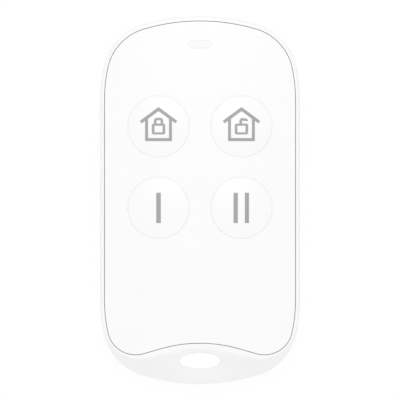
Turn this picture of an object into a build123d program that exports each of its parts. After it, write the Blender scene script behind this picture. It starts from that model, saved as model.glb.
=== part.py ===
from build123d import *
import os
from math import asin, atan2, cos, radians, sin, sqrt, tan

# Alarm key fob with four domed keys, lying on its back.
# Origin at the centre of the back face, +Z out of the face, +Y towards the status light.
# All sizes are in millimetres.

# Outline of the body, seen from the front: four arcs and two straight sides
body_length = 65.0
body_width = 35.3
end_radius = 35.5
corner_radius = 9.9
ease_radius = 28.0
end_length = 14.8

# Seam round the face plate, with the wave at its lower end
rim_width = 0.83
seam_gap = 0.16
chin_length = 5.1
wave_height = 2.05
trough_radius = 5.0
crest_share = 0.306
brow_crest_share = 0.146

# Crowned front surface
crown_height = 12.0
cross_crown_radius = 85.0
long_crown_radius = 260.0
crown_station_shares = (-1, -0.5, 0, 0.5, 1)

# Back shell
girth_height = 4.2
brow_height = 12.8
rim_draft = 0.15
chin_roll = 1.6
back_round = 2.4
rim_chamfer = 0.3
floor_thickness = 1.7
ledge_height = 8.0
ledge_width = 1.2

# Lanyard hole in the chin
lanyard_hole_width = 7.1
lanyard_hole_height = 2.8
lanyard_hole_inset = 4.1
lanyard_end_radius = 0.9
lanyard_lip_chamfer = 0.25

# Face plate
face_thickness = 1.2
skirt_width = 1.0
collar_wall = 1.1
boss_radius = 1.9
boss_side_inset = 6.15
upper_boss_inset = 9.0
lower_boss_inset = 13.0
screw_radius = 0.75
screw_head_radius = 1.5
screw_head_height = 0.9
screw_length = 3.2
screw_slot_width = 0.4
screw_slot_depth = 0.4
hook_share = 0.17
hook_width = 3.0
hook_thickness = 1.0
hook_gap = 0.15
hook_floor = 5.9
hook_reach = 0.45
hook_head = 0.8

# Four keys in two rows
key_radius = 5.4
key_spacing_share = 0.415
upper_key_share = 0.2
lower_key_share = -0.0215
key_rise = 0.7
key_edge_rise = 0.12
key_edge_chamfer = 0.12
key_gap = 0.1
key_flange_width = 0.5
key_flange_thickness = 0.6
key_wall = 1.2
key_recess_depth = 1.45
key_travel = 0.3

# Status light window
window_length = 4.3
window_width = 1.4
window_inset = 5.0
window_sunk = 0.05
window_flange = 0.6
window_flange_thickness = 0.5

# Stack from the back: cell, board, switches, keypad mat
cell_radius = 10.0
cell_height = 3.2
cell_y = -6.0
contact_height = 0.35
board_thickness = 0.8
board_side_gap = 0.35
post_size = 2.2
post_side_inset = 5.35
post_share = 0.2
well_gap = 0.3
well_wall = 1.0
well_height = 2.9
switch_size = 4.5
switch_base_height = 0.7
switch_frame_thickness = 0.15
plunger_size = 2.2
plunger_rise = 0.6
mat_thickness = 0.6
mat_web = 0.35
mat_head_radius = 2.9
mat_head_clearance = 0.7
mat_margin = 0.6

# Small parts of the switches, the electronics and the cell
switch_leg_spread = 3.0
switch_leg_reach = 0.5
switch_leg_width = 0.6
switch_leg_thickness = 0.25
plunger_collar = 0.3
plunger_collar_height = 0.15
led_length = 1.6
led_width = 0.8
led_height = 0.6
led_lens_length = 1.1
led_gap = 0.3
chip_x = -3.0
chip_inset = 17.5
chip_size = 5.0
chip_height = 0.9
chip_chamfer = 0.1
crystal_x = 5.0
crystal_width = 2.5
crystal_length = 3.2
crystal_base_height = 0.3
crystal_lid_margin = 0.2
crystal_height = 0.8
chip_row_offset = 4.2
chip_row_count = 6
chip_pitch = 1.4
chip_part_width = 0.5
chip_part_length = 1.0
capacitor_height = 0.5
resistor_height = 0.35
antenna_inset = 7.0
antenna_thickness = 0.4
antenna_angle = 34.0
antenna_drop = 0.8
antenna_height = 1.4
antenna_leg_width = 0.9
contact_thickness = 0.15
contact_width = 3.6
leaf_half_length = 4.0
side_contact_lift = 1.1
side_contact_foot = 2.2
can_wall = 0.3
can_chamfer = 0.2
gasket_wall = 0.5
cap_stand = 0.3
door_edge_chamfer = 0.15

# Battery door: a coin-slot bayonet
door_sunk = 0.15
door_floor_thickness = 1.75
door_flange_thickness = 0.9
door_flange_reach = 1.3
door_gap = 0.1
cup_wall = 0.55
cup_gap = 0.15
cup_height = 2.55
lug_reach = 0.9
lug_thickness = 0.6
lug_lift = 0.15
lug_count = 3
lug_angle = 30.0
lug_slot_margin = 2.0
door_angle = 45.0
coin_slot_length = 12.0
coin_slot_width = 1.7
coin_slot_depth = 0.85
seal_thickness = 0.5

# Clearances
touch_gap = 0.05
running_gap = 0.1
overrun = 1.0
turn_angle = 360.0
quarter_angle = 90.0

half_length = body_length / 2
half_width = body_width / 2
side_straight = body_length - 2 * end_length
key_spacing = key_spacing_share * body_width
upper_key_y = upper_key_share * body_length
lower_key_y = lower_key_share * body_length
window_y = half_length - window_inset
hook_y = hook_share * body_length
chip_y = half_length - chip_inset


def flipped(point):
    """The same point at the other end of the fob."""
    return Vector(point.X, -point.Y)


def toward(centre, other, radius):
    """Point at a radius from a centre, on the line through another centre."""
    return centre + (other - centre).normalized() * radius


def circle_crossing(first, first_radius, second, second_radius):
    """Crossing of two circles that lies to the right of the way from first to second."""
    gap = second - first
    along = (first_radius**2 - second_radius**2 + gap.length**2) / (2 * gap.length)
    across = sqrt(first_radius**2 - along**2)
    ahead = gap.normalized()
    return first + ahead * along + Vector(ahead.Y, -ahead.X) * across


end_centre = Vector(0, half_length - end_radius)
ease_centre = Vector(half_width - ease_radius, side_straight / 2)
corner_centre = circle_crossing(
    end_centre, end_radius - corner_radius, ease_centre, ease_radius - corner_radius
)


def arc(first, last, radius):
    return RadiusArc(first, last, radius, mode=Mode.PRIVATE)


def straight(first, last):
    return Line(first, last, mode=Mode.PRIVATE)


def whole(edges):
    """Face inside the right half of an outline and its mirror image."""
    return Face(Wire(edges + [edge.mirror(Plane.YZ) for edge in edges]))


def upper_edges(inset):
    """Right half of the outline from the top down to the end of the straight side."""
    top = Vector(0, half_length - inset)
    shoulder = toward(end_centre, corner_centre, end_radius - inset)
    hip = toward(ease_centre, corner_centre, ease_radius - inset)
    side = Vector(half_width - inset, side_straight / 2)
    return [
        arc(top, shoulder, end_radius - inset),
        arc(shoulder, hip, corner_radius - inset),
        arc(hip, side, ease_radius - inset),
        straight(side, flipped(side)),
    ]


def body_edges(split_x):
    """Right half of the body's outline, its lower end split where the wave's flank begins."""
    low_side = Vector(half_width, -side_straight / 2)
    hip = flipped(toward(ease_centre, corner_centre, ease_radius))
    shoulder = flipped(toward(end_centre, corner_centre, end_radius))
    split = Vector(split_x, -end_centre.Y - sqrt(end_radius**2 - split_x**2))
    return upper_edges(0) + [
        arc(low_side, hip, ease_radius),
        arc(hip, shoulder, corner_radius),
        arc(shoulder, split, end_radius),
        arc(split, Vector(0, -half_length), end_radius),
    ]


class Wave:
    """Lower edge of the face: two troughs joined by straight flanks to a middle crest."""

    def __init__(self, inset, low, crest, share):
        reach = ease_radius - inset - trough_radius
        trough_y = low + trough_radius
        rise = trough_y + side_straight / 2
        self.inset = inset
        self.crest = crest
        self.trough = Vector(ease_centre.X + sqrt(reach**2 - rise**2), trough_y)
        gap = self.trough - Vector(share * self.trough.X, crest)
        flank = asin(trough_radius / gap.length) - atan2(gap.Y, gap.X)
        self.normal = Vector(-sin(flank), -cos(flank))
        self.crest_radius = share * self.trough.X / tan(flank / 2)
        self.centre = Vector(0, crest - self.crest_radius)
        self.split_x = self.crest_radius * sin(flank)

    def edges(self, shift=0):
        """Right half of the outline that follows this wave, a shift inside it."""
        inset = self.inset + shift
        low_side = Vector(half_width - inset, -side_straight / 2)
        hip = toward(flipped(ease_centre), self.trough, ease_radius - inset)
        start = self.trough + self.normal * (trough_radius - shift)
        stop = self.centre - self.normal * (self.crest_radius + shift)
        return upper_edges(inset) + [
            arc(low_side, hip, ease_radius - inset),
            arc(hip, start, trough_radius - shift),
            straight(start, stop),
            arc(stop, Vector(0, self.crest + shift), -self.crest_radius - shift),
        ]


trough_low = chin_length - half_length
seam = Wave(rim_width, trough_low, trough_low + wave_height, crest_share)


def seam_outline(shift):
    """Face inside the seam, a shift inwards of it."""
    return whole(seam.edges(shift))


def crown_level(x, y, sunk=0):
    """Height of the crowned front over a point, sunk below the surface by a depth."""
    cross = cross_crown_radius - sunk
    ridge = sqrt((long_crown_radius - sunk) ** 2 - y**2) - long_crown_radius + sunk
    return crown_height - sunk + ridge + sqrt(cross**2 - x**2) - cross


def under_crown(sunk=0):
    """Everything below the crowned front, sunk below the surface by a depth."""
    reach = half_width + overrun
    with BuildPart() as space:
        for share in crown_station_shares:
            y = share * (half_length + overrun)
            top = crown_level(0, y, sunk)
            shoulder = crown_level(reach, y, sunk)
            with BuildSketch(Plane((0, y, 0), x_dir=(1, 0, 0), z_dir=(0, -1, 0))):
                with BuildLine():
                    ThreePointArc((-reach, shoulder), (0, top), (reach, shoulder))
                    Polyline((reach, shoulder), (reach, -overrun), (-reach, -overrun), (-reach, shoulder))
                make_face()
        loft()
    return space.part


os.makedirs("parts", exist_ok=True)


def save(piece, name):
    piece.part.label = name
    export_step(piece.part, f"parts/{name}.step")


# Levels of the stack inside, from the back
cell_floor = door_sunk + door_floor_thickness + touch_gap
cell_top = cell_floor + cell_height
board_floor = cell_top + contact_height
board_top = board_floor + board_thickness
frame_floor = board_top + switch_base_height
frame_top = frame_floor + switch_frame_thickness
plunger_top = frame_top + plunger_rise
hat_neck = plunger_top + touch_gap
key_floor = hat_neck + mat_head_clearance
mat_top = key_floor + key_recess_depth - touch_gap
collar_floor = key_floor + key_flange_thickness + touch_gap

key_places = {
    "arm": (-key_spacing / 2, upper_key_y),
    "disarm": (key_spacing / 2, upper_key_y),
    "one": (-key_spacing / 2, lower_key_y),
    "two": (key_spacing / 2, lower_key_y),
}
boss_places = [
    (boss_side_inset - half_width, half_length - upper_boss_inset),
    (half_width - boss_side_inset, lower_boss_inset - half_length),
]
crown = under_crown()

# Case body: a tub below the girth, and walls above it that lean in to the rim and the chin.
# The chin starts with a rolled edge and leaves a rim of even width round the wave.
band = rim_width - rim_draft
crest_band = seam.crest - band
crest_level = crown_level(0, crest_band)
chin_slope = atan2(crest_band + half_length, crest_level - girth_height)
roll_level = girth_height + chin_roll * sin(chin_slope)
roll_run = chin_roll * (1 - cos(chin_slope))
brow_climb = (brow_height - roll_level) / (crest_level - roll_level)
brow_run = roll_run + (crest_band + half_length - roll_run) * brow_climb
roll_share = roll_run / brow_run


def chin_share(level):
    """Share of the way from the girth to the brow that the wall has come at a level."""
    return roll_share + (1 - roll_share) * (level - roll_level) / (brow_height - roll_level)


trough_x = seam.trough.X
trough_foot = -end_centre.Y - sqrt(end_radius**2 - trough_x**2)
trough_band = trough_low - band
trough_share = chin_share(crown_level(trough_x, trough_band))
side_share = chin_share(crown_level(half_width, 0))
brow = Wave(
    rim_draft / side_share,
    trough_foot + (trough_band - trough_foot) / trough_share,
    brow_run - half_length,
    brow_crest_share,
)
end_shares = (0, 0.5, 1)


def wall_section(share, level):
    """Outline of the wall at a level, a share of the way from the girth to the brow."""
    edges = []
    for low, high in zip(body_edges(brow.split_x), brow.edges()):
        points = [
            low.position_at(part) + (high.position_at(part) - low.position_at(part)) * share
            for part in end_shares
        ]
        if low.geom_type == GeomType.LINE:
            edges.append(straight(points[0], points[2]))
        else:
            edges.append(ThreePointArc(*points, mode=Mode.PRIVATE))
    return whole(edges).moved(Pos(0, 0, level))


roll_middle_share = chin_roll * (1 - cos(chin_slope / 2)) / brow_run
wall_sections = [
    whole(body_edges(brow.split_x)).moved(Pos(0, 0, girth_height)),
    wall_section(roll_middle_share, girth_height + chin_roll * sin(chin_slope / 2)),
    wall_section(roll_share, roll_level),
    whole(brow.edges()).moved(Pos(0, 0, brow_height)),
]
cavity_half_width = half_width - rim_width - ledge_width
cup_radius = cell_radius + cup_gap + cup_wall
lug_radius = cup_radius + lug_reach
flange_radius = cup_radius + door_flange_reach
ring_floor = door_sunk + door_flange_thickness + touch_gap
well_radius = lug_radius + well_gap
post_places = [(side * (half_width - post_side_inset), post_share * body_length) for side in (-1, 1)]
hook_places = [(x, y) for x in (-1, 1) for y in (-hook_y, hook_y)]


def ring_sector(inner, outer, middle, sweep):
    """Part of a flat ring, centred on an angle."""
    first = middle - sweep / 2
    with BuildSketch() as sector:
        with BuildLine():
            outside = CenterArc((0, 0), outer, first, sweep)
            inside = CenterArc((0, 0), inner, first, sweep)
            Line(outside @ 0, inside @ 0)
            Line(outside @ 1, inside @ 1)
        make_face()
    return sector.sketch


hole_y = lanyard_hole_inset - half_length
hole_top = Vector(0, lanyard_hole_height / 2)
hole_end = Vector(lanyard_hole_width / 2 - lanyard_end_radius, 0)
hole_flat_radius = (hole_end.X**2 + hole_top.Y**2 - lanyard_end_radius**2) / (
    2 * (hole_top.Y - lanyard_end_radius)
)
hole_joint = toward(hole_top - Vector(0, hole_flat_radius), hole_end, hole_flat_radius)


def in_hole(face):
    """Whether a face is part of the wall of the lanyard hole."""
    middle = face.center()
    reach = max(abs(middle.X), abs(middle.Y - hole_y))
    return reach < lanyard_hole_width / 2 + touch_gap and face.geom_type == GeomType.CYLINDER


with BuildPart() as case_body:
    with BuildSketch():
        add(whole(body_edges(brow.split_x)))
    extrude(amount=girth_height)
    loft(wall_sections, ruled=True)
    add(crown, mode=Mode.INTERSECT)
    fillet(case_body.faces().sort_by(Axis.Z)[0].edges(), back_round)
    chamfer(case_body.faces().sort_by(Axis.Z)[-1].edges(), rim_chamfer)
    # Oval lanyard hole straight through the chin, with softened lips
    with BuildSketch(Plane((0, hole_y, 0))):
        add(
            whole(
                [
                    arc(hole_top, hole_joint, hole_flat_radius),
                    arc(hole_joint, flipped(hole_joint), lanyard_end_radius),
                    arc(flipped(hole_joint), flipped(hole_top), hole_flat_radius),
                ]
            )
        )
    extrude(amount=crown_height, mode=Mode.SUBTRACT)
    lips = case_body.faces().filter_by(in_hole).edges().filter_by(Axis.Z, reverse=True)
    chamfer(lips, lanyard_lip_chamfer)
    # Pocket for the face plate, then the cavity inside the ledge
    with BuildSketch(Plane.XY.offset(ledge_height)):
        add(seam_outline(0))
    extrude(amount=crown_height, mode=Mode.SUBTRACT)
    with BuildSketch(Plane.XY.offset(floor_thickness)):
        add(seam_outline(ledge_width))
    extrude(amount=crown_height, mode=Mode.SUBTRACT)
    # Wall round the cell, and posts under the board
    with BuildSketch(Plane((0, cell_y, floor_thickness))):
        Circle(well_radius + well_wall)
        Circle(well_radius, mode=Mode.SUBTRACT)
    extrude(amount=well_height)
    with BuildSketch(Plane.XY.offset(floor_thickness)):
        with Locations(*post_places):
            Rectangle(post_size, post_size)
    extrude(amount=board_floor - floor_thickness)
    # Battery opening: a recess for the door's flange, a ring behind it, and slots for the lugs
    with BuildSketch(Plane((0, cell_y, 0))):
        Circle(flange_radius + door_gap)
    extrude(amount=ring_floor, mode=Mode.SUBTRACT)
    with BuildSketch(Plane((0, cell_y, 0))):
        Circle(cup_radius + door_gap)
        for lug in range(lug_count):
            angle = lug * turn_angle / lug_count - door_angle
            add(ring_sector(cup_radius, lug_radius + door_gap, angle, lug_angle + 2 * lug_slot_margin))
    extrude(amount=floor_thickness, mode=Mode.SUBTRACT)
    # Pockets in the side walls for the face plate's hooks
    for side, y in hook_places:
        with BuildSketch(Plane((side * cavity_half_width, y, hook_floor))):
            Rectangle(2 * (hook_reach + hook_gap), hook_width + 2 * hook_gap)
        extrude(amount=hook_head + hook_gap, mode=Mode.SUBTRACT)
save(case_body, "case_body")

# Face plate: a crowned cover on a skirt, with a collar round each key and bosses for the screws
skirt_shift = seam_gap + skirt_width
key_hole_radius = key_radius + key_gap
hook_outer = cavity_half_width - hook_gap
collar_radius = key_hole_radius + collar_wall
hook_planes = [
    Plane((side * (hook_outer - hook_thickness / 2), y, ledge_height)) for side, y in hook_places
]
with BuildPart() as face_hollow:
    with BuildSketch(Plane.XY.offset(ledge_height)):
        add(seam_outline(skirt_shift))
        with Locations(*key_places.values()):
            Circle(collar_radius, mode=Mode.SUBTRACT)
        with Locations(*boss_places):
            Circle(boss_radius, mode=Mode.SUBTRACT)
        for plane in hook_planes:
            with Locations(plane.origin):
                Rectangle(hook_thickness, hook_width, mode=Mode.SUBTRACT)
    extrude(amount=crown_height)
    add(under_crown(face_thickness), mode=Mode.INTERSECT)
    with BuildSketch(Plane.XY.offset(ledge_height)):
        with Locations(*key_places.values()):
            Circle(collar_radius)
    extrude(amount=collar_floor - ledge_height)

with BuildPart() as face_plate:
    with BuildSketch(Plane.XY.offset(ledge_height)):
        add(seam_outline(seam_gap))
        with Locations(*key_places.values()):
            Circle(key_hole_radius, mode=Mode.SUBTRACT)
        with Locations((0, window_y)):
            SlotOverall(window_length + 2 * touch_gap, window_width + 2 * touch_gap, mode=Mode.SUBTRACT)
    extrude(amount=crown_height)
    add(crown, mode=Mode.INTERSECT)
    add(face_hollow.part, mode=Mode.SUBTRACT)
    with BuildSketch(Plane.XY.offset(ledge_height)):
        with Locations(*boss_places):
            Circle(boss_radius)
    extrude(amount=board_top - ledge_height)
    with BuildSketch(*hook_planes):
        Rectangle(hook_thickness, hook_width)
    extrude(amount=hook_floor - ledge_height)
    for side, y in hook_places:
        toe = side * hook_outer
        with BuildSketch(Plane((0, y, 0), x_dir=(1, 0, 0), z_dir=(0, -1, 0))):
            with BuildLine():
                Polyline(
                    (toe, hook_floor),
                    (toe + side * hook_reach, hook_floor + hook_head / 2),
                    (toe + side * hook_reach, hook_floor + hook_head),
                    (toe, hook_floor + hook_head),
                    close=True,
                )
            make_face()
        extrude(amount=hook_width / 2, both=True)
    with BuildSketch(Plane.XY.offset(board_top)):
        with Locations(*boss_places):
            Circle(screw_radius + touch_gap)
    extrude(amount=screw_length - board_thickness + touch_gap, mode=Mode.SUBTRACT)
save(face_plate, "face_plate")

# Status light window: a clear light pipe with a flange behind the plate
led_top = board_top + led_height
flange_end = (window_length / 2 + window_flange, window_y + window_width / 2 + window_flange)
window_flange_top = crown_level(*flange_end, face_thickness) - touch_gap
with BuildPart() as led_window:
    with BuildSketch(Plane((0, window_y, led_top + led_gap))):
        SlotOverall(window_length, window_width)
    extrude(amount=crown_height)
    add(under_crown(window_sunk), mode=Mode.INTERSECT)
    with BuildSketch(Plane((0, window_y, window_flange_top - window_flange_thickness))):
        Rectangle(window_length + 2 * window_flange, window_width + 2 * window_flange)
    extrude(amount=window_flange_thickness)
save(led_window, "led_window")

# Keys: domes whose axis follows the crown, with a recess over the mat's head
crown_sag = key_radius**2 / 4 * (1 / cross_crown_radius + 1 / long_crown_radius)
dome_height = key_rise - key_edge_rise + crown_sag
dome_radius = (key_radius**2 + dome_height**2) / (2 * dome_height)


def dome_centre(x, y):
    """Centre of the sphere of a key's dome, below the crown along its normal."""
    slope_x = x / sqrt(cross_crown_radius**2 - x**2)
    slope_y = y / sqrt(long_crown_radius**2 - y**2)
    normal = Vector(slope_x, slope_y, 1).normalized()
    return Vector(x, y, crown_level(x, y)) - normal * (dome_radius - key_rise)


for name, (x, y) in key_places.items():
    with BuildPart() as key:
        with BuildSketch(Plane((x, y, key_floor))):
            Circle(key_radius)
        extrude(amount=crown_height)
        with Locations(dome_centre(x, y)):
            Sphere(dome_radius, mode=Mode.INTERSECT)
        chamfer(key.faces().sort_by(Axis.Z)[-1].edges(), key_edge_chamfer)
        with BuildSketch(Plane((x, y, key_floor))):
            Circle(key_radius + key_flange_width)
        extrude(amount=key_flange_thickness)
        with BuildSketch(Plane((x, y, key_floor))):
            Circle(key_radius - key_wall)
        extrude(amount=key_recess_depth, mode=Mode.SUBTRACT)
    save(key, f"key_{name}")

# Keypad mat: a silicone sheet with a sprung hat over each switch
hat_foot = key_radius + key_flange_width - mat_web
mat_low = lower_key_y - hat_foot - mat_margin
mat_high = upper_key_y + hat_foot + mat_margin
mat_width = key_spacing + 2 * (hat_foot + mat_margin)
with BuildPart() as keypad_mat:
    with BuildSketch(Plane((0, (mat_low + mat_high) / 2, board_top))):
        Rectangle(mat_width, mat_high - mat_low)
    extrude(amount=mat_thickness)
    for x, y in key_places.values():
        hat_plane = Plane((x, y, 0), x_dir=(1, 0, 0), z_dir=(0, -1, 0))
        with BuildSketch(hat_plane):
            with BuildLine():
                Polyline(
                    (0, board_top),
                    (hat_foot, board_top),
                    (hat_foot, board_top + mat_thickness),
                    (mat_head_radius, hat_neck),
                    (mat_head_radius, mat_top),
                    (0, mat_top),
                    close=True,
                )
            make_face()
        revolve(axis=Axis((x, y, 0), (0, 0, 1)))
        with BuildSketch(hat_plane):
            with BuildLine():
                Polyline(
                    (0, board_top),
                    (hat_foot - mat_web, board_top),
                    (mat_head_radius - mat_web, hat_neck),
                    (0, hat_neck),
                    close=True,
                )
            make_face()
        revolve(axis=Axis((x, y, 0), (0, 0, 1)), mode=Mode.SUBTRACT)
save(keypad_mat, "keypad_mat")

# Circuit board, cut to the cavity and clear of the hooks, with holes for the screws
board_shift = ledge_width + hook_gap + hook_thickness + board_side_gap
with BuildPart() as circuit_board:
    with BuildSketch(Plane.XY.offset(board_floor)):
        add(seam_outline(board_shift))
        with Locations(*boss_places):
            Circle(screw_radius + running_gap, mode=Mode.SUBTRACT)
    extrude(amount=board_thickness)
save(circuit_board, "circuit_board")

# Screws from behind the board into the face plate's bosses
with BuildPart() as board_screws:
    with BuildSketch(Plane.XY.offset(board_floor)):
        with Locations(*boss_places):
            Circle(screw_radius)
    extrude(amount=screw_length)
    with BuildSketch(Plane.XY.offset(board_floor)):
        with Locations(*boss_places):
            Circle(screw_head_radius)
    extrude(amount=-screw_head_height)
    with BuildSketch(Plane.XY.offset(board_floor - screw_head_height)):
        with Locations(*boss_places):
            Rectangle(2 * screw_head_radius, screw_slot_width)
    extrude(amount=screw_slot_depth, mode=Mode.SUBTRACT)
save(board_screws, "board_screws")

# Dome switches on the board: a base with its legs, a metal frame and a plunger
collar_size = plunger_size + 2 * plunger_collar
pocket_size = collar_size + 2 * running_gap
opening_size = plunger_size + 2 * running_gap
for name, (x, y) in key_places.items():
    with BuildPart() as base:
        with BuildSketch(Plane((x, y, board_top))):
            Rectangle(switch_size, switch_size)
            with GridLocations(switch_size, switch_leg_spread, 2, 2):
                Rectangle(2 * switch_leg_reach, switch_leg_width)
        extrude(amount=switch_leg_thickness)
        with BuildSketch(Plane((x, y, board_top))):
            Rectangle(switch_size, switch_size)
        extrude(amount=switch_base_height)
        with BuildSketch(Plane((x, y, frame_floor))):
            Rectangle(pocket_size, pocket_size)
        extrude(amount=-plunger_collar_height - key_travel - running_gap, mode=Mode.SUBTRACT)
    save(base, f"switch_{name}_base")
    with BuildPart() as frame:
        with BuildSketch(Plane((x, y, frame_floor))):
            Rectangle(switch_size, switch_size)
            Rectangle(opening_size, opening_size, mode=Mode.SUBTRACT)
        extrude(amount=switch_frame_thickness)
    save(frame, f"switch_{name}_frame")
    with BuildPart() as plunger:
        with BuildSketch(Plane((x, y, frame_floor - touch_gap))):
            Rectangle(collar_size, collar_size)
        extrude(amount=-plunger_collar_height)
        with BuildSketch(Plane((x, y, frame_floor - touch_gap))):
            Rectangle(plunger_size, plunger_size)
        extrude(amount=switch_frame_thickness + plunger_rise + touch_gap)
    save(plunger, f"switch_{name}_plunger")

# Electronics: the status light faces the window, the rest hangs under the board
with BuildPart() as status_led:
    with BuildSketch(Plane((0, window_y, board_top))):
        Rectangle(led_length, led_width)
    extrude(amount=led_height / 2)
    with BuildSketch(Plane((0, window_y, board_top + led_height / 2))):
        Rectangle(led_lens_length, led_width)
    extrude(amount=led_height / 2)
save(status_led, "status_led")

with BuildPart() as radio_chip:
    with BuildSketch(Plane((chip_x, chip_y, board_floor))):
        Rectangle(chip_size, chip_size)
    extrude(amount=-chip_height)
    chamfer(radio_chip.faces().sort_by(Axis.Z)[0].edges(), chip_chamfer)
save(radio_chip, "radio_chip")

with BuildPart() as crystal:
    with BuildSketch(Plane((crystal_x, chip_y, board_floor))):
        Rectangle(crystal_width, crystal_length)
    extrude(amount=-crystal_base_height)
    with BuildSketch(Plane((crystal_x, chip_y, board_floor))):
        Rectangle(crystal_width - 2 * crystal_lid_margin, crystal_length - 2 * crystal_lid_margin)
    extrude(amount=-crystal_height)
save(crystal, "crystal")

with BuildPart() as chip_capacitors:
    with BuildSketch(Plane((chip_x, chip_y - chip_row_offset, board_floor))):
        with GridLocations(chip_pitch, 0, chip_row_count, 1):
            Rectangle(chip_part_width, chip_part_length)
    extrude(amount=-capacitor_height)
save(chip_capacitors, "chip_capacitors")

with BuildPart() as chip_resistors:
    with BuildSketch(Plane((chip_x, chip_y + chip_row_offset, board_floor))):
        with GridLocations(chip_pitch, 0, chip_row_count, 1):
            Rectangle(chip_part_width, chip_part_length)
    extrude(amount=-resistor_height)
save(chip_resistors, "chip_resistors")

# Antenna: a strip bent to the upper end's curve, on two legs under the board
antenna_radius = end_radius - antenna_inset
leg_angle = antenna_leg_width / antenna_radius / radians(1)
with BuildPart() as antenna:
    with BuildSketch(Plane((0, end_centre.Y, board_floor - antenna_drop))):
        add(ring_sector(antenna_radius - antenna_thickness, antenna_radius, quarter_angle, antenna_angle))
    extrude(amount=-antenna_height)
    with BuildSketch(Plane((0, end_centre.Y, board_floor))):
        for side in (-1, 1):
            middle = quarter_angle + side * (antenna_angle - leg_angle) / 2
            add(ring_sector(antenna_radius - antenna_thickness, antenna_radius, middle, leg_angle))
    extrude(amount=-antenna_drop)
save(antenna, "antenna")

# Battery contacts: a leaf over the cell's cap and a spring beside its can
leaf_low = cell_top + touch_gap
leaf_high = board_floor - contact_thickness
with BuildPart() as contact_negative:
    with BuildSketch(Plane((0, cell_y, 0), x_dir=(1, 0, 0), z_dir=(0, -1, 0))):
        with BuildLine():
            Polyline(
                (-leaf_half_length, board_floor),
                (-leaf_half_length, leaf_high),
                (-leaf_half_length / 2, leaf_high),
                (-leaf_half_length / 4, leaf_low),
                (leaf_half_length / 4, leaf_low),
                (leaf_half_length / 2, leaf_high),
                (leaf_half_length, leaf_high),
                (leaf_half_length, board_floor),
                (leaf_half_length / 2, board_floor),
                (leaf_half_length / 4, leaf_low + contact_thickness),
                (-leaf_half_length / 4, leaf_low + contact_thickness),
                (-leaf_half_length / 2, board_floor),
                close=True,
            )
        make_face()
    extrude(amount=contact_width / 2, both=True)
save(contact_negative, "contact_negative")

side_inner = cell_radius + touch_gap
side_outer = side_inner + contact_thickness
with BuildPart() as contact_positive:
    with BuildSketch(Plane((0, cell_y, 0), x_dir=(1, 0, 0), z_dir=(0, -1, 0))):
        with BuildLine():
            Polyline(
                (side_inner, cell_floor + side_contact_lift),
                (side_outer, cell_floor + side_contact_lift),
                (side_outer, leaf_high),
                (side_outer + side_contact_foot, leaf_high),
                (side_outer + side_contact_foot, board_floor),
                (side_inner, board_floor),
                close=True,
            )
        make_face()
    extrude(amount=contact_width / 2, both=True)
save(contact_positive, "contact_positive")

# Coin cell: a can that faces the door, a cap that faces the board, and the gasket between
cap_radius = cell_radius - can_wall - gasket_wall
cell_axis = Axis((0, cell_y, 0), (0, 0, 1))
with BuildPart() as coin_cell_can:
    with BuildSketch(Plane((0, cell_y, cell_floor))):
        Circle(cell_radius)
    extrude(amount=cell_height - cap_stand)
    chamfer(coin_cell_can.faces().sort_by(Axis.Z)[0].edges(), can_chamfer)
    with BuildSketch(Plane((0, cell_y, cell_floor + can_wall))):
        Circle(cell_radius - can_wall)
    extrude(amount=cell_height, mode=Mode.SUBTRACT)
save(coin_cell_can, "coin_cell_can")

with BuildPart() as coin_cell_gasket:
    with BuildSketch(Plane((0, cell_y, cell_floor + can_wall))):
        Circle(cell_radius - can_wall)
        Circle(cap_radius, mode=Mode.SUBTRACT)
    extrude(amount=cell_height - can_wall - cap_stand)
save(coin_cell_gasket, "coin_cell_gasket")

with BuildPart() as coin_cell_cap:
    with BuildSketch(Plane((0, cell_y, cell_floor + can_wall))):
        Circle(cap_radius)
    extrude(amount=cell_height - can_wall)
save(coin_cell_cap, "coin_cell_cap")

# Battery door: a flange, a plug with the cell's cup, a seal groove, lugs and a coin slot
door_plane = Plane((0, cell_y, 0), x_dir=(1, 0, 0), z_dir=(0, -1, 0))
flange_top = door_sunk + door_flange_thickness
cup_floor = door_sunk + door_floor_thickness
groove_radius = cup_radius - seal_thickness
groove_top = floor_thickness
lug_floor = floor_thickness + lug_lift
with BuildPart() as battery_door:
    with BuildSketch(door_plane):
        with BuildLine():
            Polyline(
                (0, door_sunk),
                (flange_radius, door_sunk),
                (flange_radius, flange_top),
                (groove_radius, flange_top),
                (groove_radius, groove_top),
                (cup_radius, groove_top),
                (cup_radius, cup_height),
                (cup_radius - cup_wall, cup_height),
                (cup_radius - cup_wall, cup_floor),
                (0, cup_floor),
                close=True,
            )
        make_face()
    revolve(axis=cell_axis)
    chamfer(battery_door.faces().sort_by(Axis.Z)[0].edges(), door_edge_chamfer)
    with BuildSketch(Plane((0, cell_y, lug_floor))):
        for lug in range(lug_count):
            add(ring_sector(cup_radius - touch_gap, lug_radius, lug * turn_angle / lug_count, lug_angle))
    extrude(amount=lug_thickness)
    with BuildSketch(Plane((0, cell_y, 0))):
        SlotOverall(coin_slot_length, coin_slot_width)
    extrude(amount=door_sunk + coin_slot_depth, mode=Mode.SUBTRACT)
save(battery_door, "battery_door")

with BuildPart() as door_seal:
    with BuildSketch(door_plane):
        with Locations((cup_radius - seal_thickness / 2 + touch_gap, (flange_top + groove_top) / 2)):
            Rectangle(seal_thickness, seal_thickness)
    revolve(axis=cell_axis)
save(door_seal, "door_seal")
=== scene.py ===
import bpy, bmesh
from math import asin, atan2, ceil, copysign, cos, radians, sin, sqrt, tan
from mathutils import Matrix, Vector
from mathutils.bvhtree import BVHTree


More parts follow.
